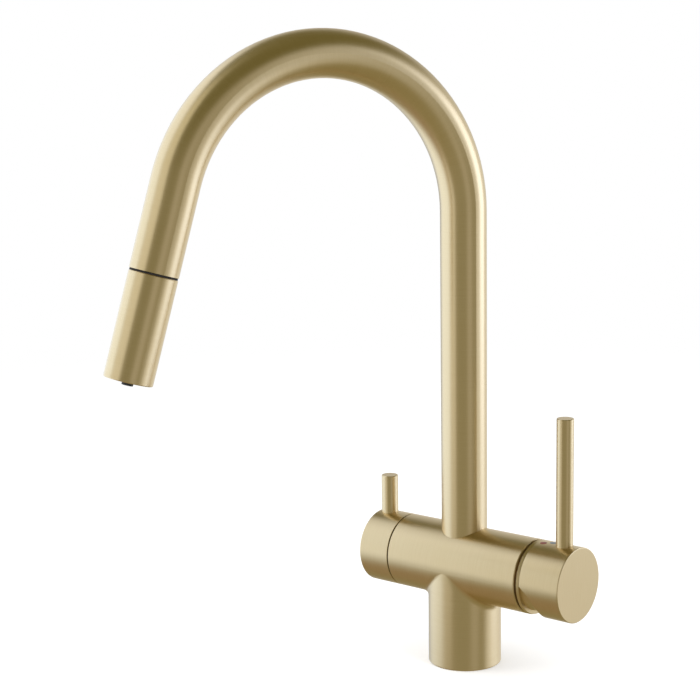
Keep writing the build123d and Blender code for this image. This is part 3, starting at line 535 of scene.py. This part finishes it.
headLine = tuple(spoutPoint(spout["tail"])[1])
finishes = [
    (brushedBrass("brushedSpout", roundSpout, brushedLook), ["spout_pipe", "spray_head_shell"]),
    (brushedBrass("brushedBody", roundBody, brushedLook), ["tap_body"]),
    (brushedBrass("brushedCap", roundBar, brushedLook),
     ["mixer_cap", "filter_cap", "dome_cover", "mixer_screw_plug", "filter_screw_plug"]),
    (brushedBrass("brushedLever", roundPost, brushedLook), ["mixer_lever", "filter_lever"]),
    (insideFinish("turnedBrassAcross", insideLook["rawBrass"], (1, 0, 0)),
     ["cartridge_nut", "filter_valve_body", "filter_spindle", "cartridge_stem"]),
    (insideFinish("turnedBrassUpright", insideLook["rawBrass"], (0, 0, 1)),
     ["inlet_plate", "spout_spigot", "hose_end_fitting"]),
    (insideFinish("turnedBrassHead", insideLook["rawBrass"], headLine), ["hose_nut"]),
    (insideFinish("groundSteel", insideLook["stainless"], (0, 1, 0)),
     ["swing_stop_screw", "cartridge_pivot_pin", "mixer_grub_screw", "filter_grub_screw"]),
    (insideFinish("sealRubber", insideLook["sealRubber"]),
     ["base_seal", "spigot_rings", "docking_washer", "check_valve_ring", "aerator_gasket",
      "cartridge_port_seals", "filter_valve_seal"]),
    (insideFinish("darkPlastic", insideLook["darkPlastic"]),
     ["docking_collar", "docking_socket", "aerator_ring", "jet_plate", "filter_nozzle",
      "cartridge_base"]),
    (insideFinish("palePlastic", insideLook["palePlastic"]),
     ["hose_guide", "spout_glide_ring", "spray_core", "check_valve", "cartridge_housing",
      "cartridge_disc_carrier", "cartridge_rotor"]),
    (insideFinish("whiteCeramic", insideLook["whiteCeramic"]),
     ["cartridge_fixed_disc", "cartridge_moving_disc", "filter_fixed_disc", "filter_moving_disc"]),
]
for material, names in finishes:
    for name in names:
        finishNode(name, material)
print("finishes laid on", sum(len(names) for material, names in finishes), "parts")

# hose and filtered-water tube: one length lies in the spout and moves with it, one runs on into the head
hoseLook = {
    "radius": 0.0070,
    "bore": 0.0052,
    "foot": 0.020,                    # height of the lower end
    "inHead": 0.009,                  # length past the joint line
    "around": 96,                     # corners round the length that pulls out
    "step": 0.0007,                   # from ring to ring of it, once it is out
    "aroundInSpout": 48,
    "weave": 0.00035,                 # depth of the braid
    "carriers": 12,                   # strands each way
    "pitch": 0.030,                   # length of one turn of a strand
    "under": 0.55,                    # height of a strand where it passes under
}
lineLook = {
    "radius": 0.0030,
    "bore": 0.0020,
    "foot": 0.003,
    "inHead": 0.056,
    "around": 24,
    "step": 0.003,
    "aroundInSpout": 24,
    "weave": 0.0,
}
pullOut = {"reach": 0.200, "samples": 2000}   # how far the head comes out
inSpoutStep = 0.004                   # from ring to ring of the length in the spout
plainDrop = 0.3                       # of the braid's depth, where the hose lies unseen


# a hollow tube over (length, phase) stations; the phase runs evenly once the head is pulled out
def tubeMesh(name, stations, around, radiusAt, bore, material):
    side = Matrix.Rotation(spout["swing"], 3, "Z") @ Vector((1, 0, 0))
    points, faces, coordinates = [], [], []
    rings = [(length, phase, False) for length, phase in stations]
    rings += [(length, phase, True) for length, phase in reversed(stations)]
    for length, phase, inner in rings:
        centre, line = spoutPoint(length)
        other = line.cross(side)
        for at in range(around):
            angle = math.tau * at / around
            radius = bore if inner else radiusAt(angle, phase)
            points.append(centre + (side * math.cos(angle) + other * math.sin(angle)) * radius)
    for ring, (length, phase, inner) in enumerate(rings):
        nextRing = (ring + 1) % len(rings)
        nextPhase = rings[nextRing][1]
        for at in range(around):
            after = (at + 1) % around
            faces.append((ring * around + at, ring * around + after,
                          nextRing * around + after, nextRing * around + at))
            left, right = at / around, (at + 1) / around
            coordinates += [(left, phase), (right, phase), (right, nextPhase), (left, nextPhase)]
    mesh = bpy.data.meshes.new(name)
    mesh.from_pydata(points, [], faces)
    layer = mesh.uv_layers.new(name="tubeLength")
    for loop, pair in zip(layer.data, coordinates):
        loop.uv = pair
    mesh.polygons.foreach_set("use_smooth", [True] * len(faces))
    mesh.materials.append(material)
    return addObject(name, mesh)


# two sets of flat strands that go over and under each other
def weaveHeight(angle, phase, look):
    turns = look["carriers"] * angle / math.tau
    climb = look["carriers"] * phase / look["pitch"]
    first, second = turns + climb, turns - climb
    over = (math.floor(first) + math.floor(second)) % 2 == 0

    def crown(value):
        aside = 2 * (value % 1) - 1
        return max(0.0, 1 - aside ** 4)

    high, low = (first, second) if over else (second, first)
    return max(crown(high), look["under"] * crown(low))


braidLook = {
    "threads": 7,                     # in each flat strand
    "threadEnds": (-1, 0.6, 0.45, 1.0),       # from a groove's painted shade to a thread's full height
    "strandEdge": (0.5, 0.30),        # out from a strand's middle: painted shade here, full up to here
    # painted shade: the dark laid into the grooves and at the strands' edges
    "paintedGrooveShade": (0.035, 0.035, 0.035),
    "threadTone": (0.42, 0.42, 0.41),
    "patchTone": (0.25, 0.25, 0.25),
    "patch": (260.0, 3.0),
    "patchEnds": (0.3, 0.7, 0, 0.2),
    "relief": 0.5,
    "depth": 0.0002,
    "roughness": (0.7, 0.42),
}


def braidFinish(name, hose, look):
    material, tree = newMaterial(name)
    axes = splitAxes(tree, addNode(tree, "UVMap", uv_map="tubeLength").outputs[0])
    turns = doMath(tree, "MULTIPLY", axes["X"], hose["carriers"])
    climb = doMath(tree, "MULTIPLY", axes["Y"], hose["carriers"] / hose["pitch"])
    first, second = doMath(tree, "ADD", turns, climb), doMath(tree, "SUBTRACT", turns, climb)
    over = doMath(tree, "ADD", doMath(tree, "FLOOR", first), doMath(tree, "FLOOR", second))
    over = doMath(tree, "ABSOLUTE", doMath(tree, "MODULO", over, 2))
    heights = []
    for strand in (first, second):
        wave = doMath(tree, "SINE", doMath(tree, "MULTIPLY", strand, math.tau * look["threads"]))
        aside = doMath(tree, "SUBTRACT", doMath(tree, "FRACT", strand), 0.5)
        aside = doMath(tree, "ABSOLUTE", aside)
        heights.append(doMath(tree, "MULTIPLY", softStep(tree, wave, *look["threadEnds"]),
                              softStep(tree, aside, *look["strandEdge"])))
    height = mixValues(tree, "FLOAT", "Float", over, *heights)
    # painted shade: the braid darkens with the depth of its grooves and strand edges
    tone = mixColour(tree, height, look["paintedGrooveShade"], look["threadTone"])
    patch = softStep(tree, noise(tree, objectPlace(tree), *look["patch"]), *look["patchEnds"])
    tone = mixColour(tree, patch, tone, look["patchTone"])
    rough = softStep(tree, height, 0, 1, *look["roughness"])
    shadeSurface(tree, height, look["relief"], look["depth"], {"Base Color": tone, "Roughness": rough})
    return material


def evenSteps(start, end, step):
    count = max(2, math.ceil((end - start) / step))
    return [start + (end - start) * at / count for at in range(count + 1)]


# stations that lie evenly once the head is out, closer together while it is in;
# the head's share of the pull grows along the tail with a smooth step
def pullSteps(end, step):
    stations, samples = [], pullOut["samples"]
    for at in range(samples + 1):
        length = end * at / samples
        share = min(1, length / spout["tail"])
        out = length + pullOut["reach"] * share * share * (3 - 2 * share)
        if not stations or out - stations[-1][1] >= step or at == samples:
            stations.append((length, out))
    return stations


def layHose(name, look, material, nodeName):
    foot = -archLength - (spout["archHeight"] - look["foot"])
    lower = [(length, length) for length in evenSteps(foot, 0, inSpoutStep)]
    upper = pullSteps(spout["tail"] + look["inHead"], look["step"])

    def plain(angle, phase):
        return look["radius"] - plainDrop * look["weave"]

    def braided(angle, phase):
        return look["radius"] - look["weave"] * (1 - weaveHeight(angle, phase, look))

    shown = braided if look["weave"] else plain
    inSpout = tubeMesh(name + "InSpout", lower, look["aroundInSpout"], plain, look["bore"], material)
    pulled = tubeMesh(name + "PullOut", upper, look["around"], shown, look["bore"], material)
    for piece in (inSpout, pulled):
        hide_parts(nodeName)
    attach(inSpout, "spout")
    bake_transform(pulled)


braid = braidFinish("braidedNylon", hoseLook, braidLook)
plainBlue = insideFinish("blueTube", insideLook["blueTube"])
layHose("sprayHose", hoseLook, braid, "spray_hose")
layHose("filterLine", lineLook, plainBlue, "filter_tube")
print("hose and filter tube laid")

# two enamelled dots on top of the mixer cap, for hot and cold
markLook = {
    "capRadius": 0.0250,
    "axisHeight": 0.070,
    "length": 0.0046,
    "width": 0.0040,
    "sunk": 0.0003,                   # under the cap's surface
    "proud": 0.00006,                 # over it
    "edge": ((1.0, 0.0), (0.90, 0.8), (0.75, 1.0), (0.0, 1.0)),   # shares of width and of proud height
    "steps": 14,                      # round each end
    "line": (0.835, 0.550),           # both lie on this line, seen from above
    "merge": 1e-6,                    # points nearer than this become one
    "dots": {"hotDot": {"centre": (0.0661, -0.0026), "tone": (0.20, 0.035, 0.022)},
             "coldDot": {"centre": (0.0714, 0.0009), "tone": (0.06, 0.13, 0.21)}},
}
enamelLook = {
    "speck": (2600.0, 3.0),
    "speckEnds": (0.3, 0.7),
    "paler": 1.25,
    "lift": 0.01,
    "relief": 0.08,
    "depth": 0.00005,
    "roughness": (0.22, 0.38),
}


def enamel(name, tone, look):
    material, tree = newMaterial(name)
    speck = noise(tree, objectPlace(tree), *look["speck"])
    pale = tuple(min(1, look["paler"] * part + look["lift"]) for part in tone)
    shade = mixColour(tree, softStep(tree, speck, *look["speckEnds"]), tone, pale)
    rough = softStep(tree, speck, 0, 1, *look["roughness"])
    shadeSurface(tree, speck, look["relief"], look["depth"], {"Base Color": shade, "Roughness": rough})
    return material


# a dot, slightly long, wrapped on the cap's crown
def layDot(name, centre, tone, look):
    line = Vector(look["line"]).normalized()
    aside = Vector((-line.y, line.x))
    half, end = look["width"] / 2, look["length"] / 2 - look["width"] / 2
    rim = []
    for side in (1, -1):
        for step in range(look["steps"] + 1):
            angle = side * math.pi / 2 - math.pi * step / look["steps"]
            rim.append((side * end + half * math.cos(angle), half * math.sin(angle)))
    layers = [(1.0, -look["sunk"])] + [(share, look["proud"] * rise) for share, rise in look["edge"]]
    points, faces = [], []
    for share, lift in layers:
        for along, across in rim:
            core = max(-end, min(end, along))
            plan = Vector(centre) + line * (core + (along - core) * share) + aside * across * share
            turn = plan.y / look["capRadius"]
            radius = look["capRadius"] + lift
            points.append((plan.x, radius * math.sin(turn), look["axisHeight"] + radius * math.cos(turn)))
    count = len(rim)
    for layer in range(len(layers) - 1):
        here, above = layer * count, (layer + 1) * count
        for at in range(count):
            after = (at + 1) % count
            faces.append((here + at, here + after, above + after, above + at))
    faces.append(tuple(reversed(range(count))))
    mesh = bpy.data.meshes.new(name)
    mesh.from_pydata(points, [], faces)
    shape = bmesh.new()
    shape.from_mesh(mesh)
    bmesh.ops.remove_doubles(shape, verts=shape.verts, dist=look["merge"])
    shape.to_mesh(mesh)
    shape.free()
    mesh.polygons.foreach_set("use_smooth", [True] * len(mesh.polygons))
    mesh.materials.append(enamel(name + "Enamel", tone, enamelLook))
    piece = addObject(name, mesh)
    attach(piece, "mixer_handle")


for name, dot in markLook["dots"].items():
    layDot(name, dot["centre"], dot["tone"], markLook)
print("hot and cold dots laid")
